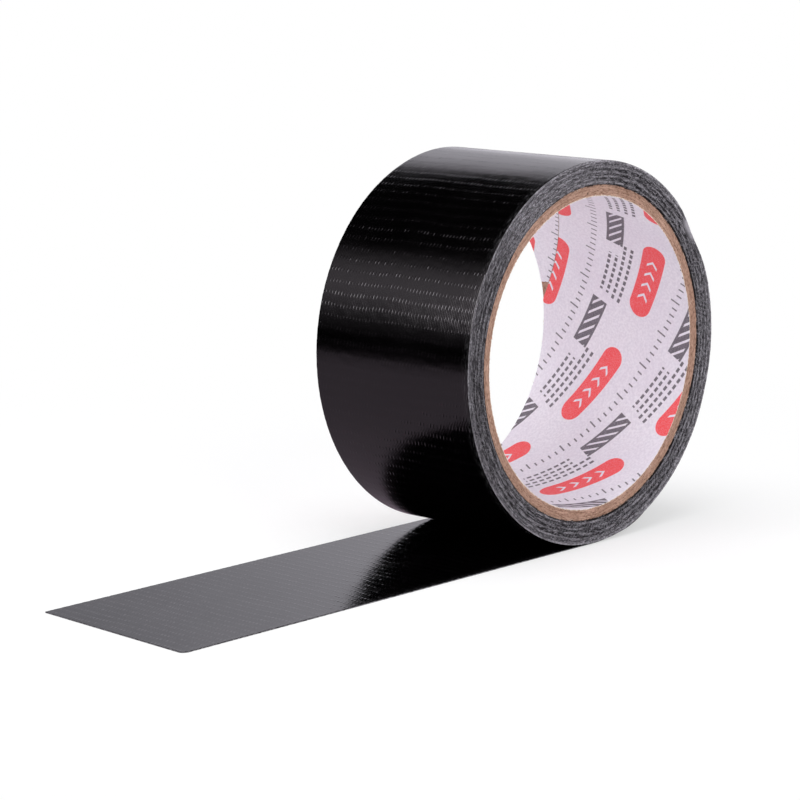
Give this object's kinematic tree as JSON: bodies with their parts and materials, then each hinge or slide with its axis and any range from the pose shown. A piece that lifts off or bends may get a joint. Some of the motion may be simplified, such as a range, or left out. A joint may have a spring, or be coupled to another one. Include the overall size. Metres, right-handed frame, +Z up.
{
  "type": "duct tape roll",
  "caption": "Roll of black duct tape on a paper core, standing on its tread with its free end pulled out flat; it pays out tape as it turns.",
  "frame": {"origin": "centre of the core's bore, at the middle of the tape's width", "axes": "+Y along the bore, +Z up from the surface that the roll stands on, and the free end runs out towards -X"},
  "size_m": [0.1826, 0.048, 0.0935],
  "materials": {
    "liner_paper": "smooth printed paper, pale lilac with red and grey print",
    "kraft_paper": "raw brown kraft board",
    "tape_film": "glossy black film with the weave showing through",
    "tape_scrim": "open grey cotton weave",
    "tape_adhesive": "shiny dark tacky adhesive"
  },
  "bodies": {
    "peel": {"peel_film": "tape_film", "peel_scrim": "tape_scrim", "peel_adhesive": "tape_adhesive", "laid_film": "tape_film", "laid_scrim": "tape_scrim", "laid_adhesive": "tape_adhesive"},
    "roll": {"liner": "liner_paper", "core_ply_1": "kraft_paper", "core_ply_2": "kraft_paper", "core_ply_3": "kraft_paper", "core_ply_4": "kraft_paper", "core_ply_5": "kraft_paper", "wound_film": "tape_film", "wound_scrim": "tape_scrim", "wound_adhesive": "tape_adhesive"},
    "tail": {"tail_film": "tape_film", "tail_scrim": "tape_scrim", "tail_adhesive": "tape_adhesive"},
    "tail_end": {"end_film": "tape_film", "end_scrim": "tape_scrim", "end_adhesive": "tape_adhesive"}
  },
  "joints": [
    {"name": "roll_turn", "type": "hinge", "parent": "peel", "child": "roll", "pos_m": [0, 0, 0], "axis": [0, 1, 0], "range_deg": [-30, 90]},
    {"name": "tape_pull", "type": "slide", "parent": "peel", "child": "tail", "axis": [-1, 0, 0], "range_m": [-0.025, 0.074], "deforming": ["laid_film", "laid_scrim", "laid_adhesive"]},
    {"name": "end_lift", "type": "hinge", "parent": "tail", "child": "tail_end", "pos_m": [-0.09, 0, -0.04675], "axis": [0, 1, 0], "range_deg": [0, 80]}
  ],
  "couplings": [
    {"joint": "tape_pull", "follows": "roll_turn", "m_per_rad": 0.04689}
  ]
}
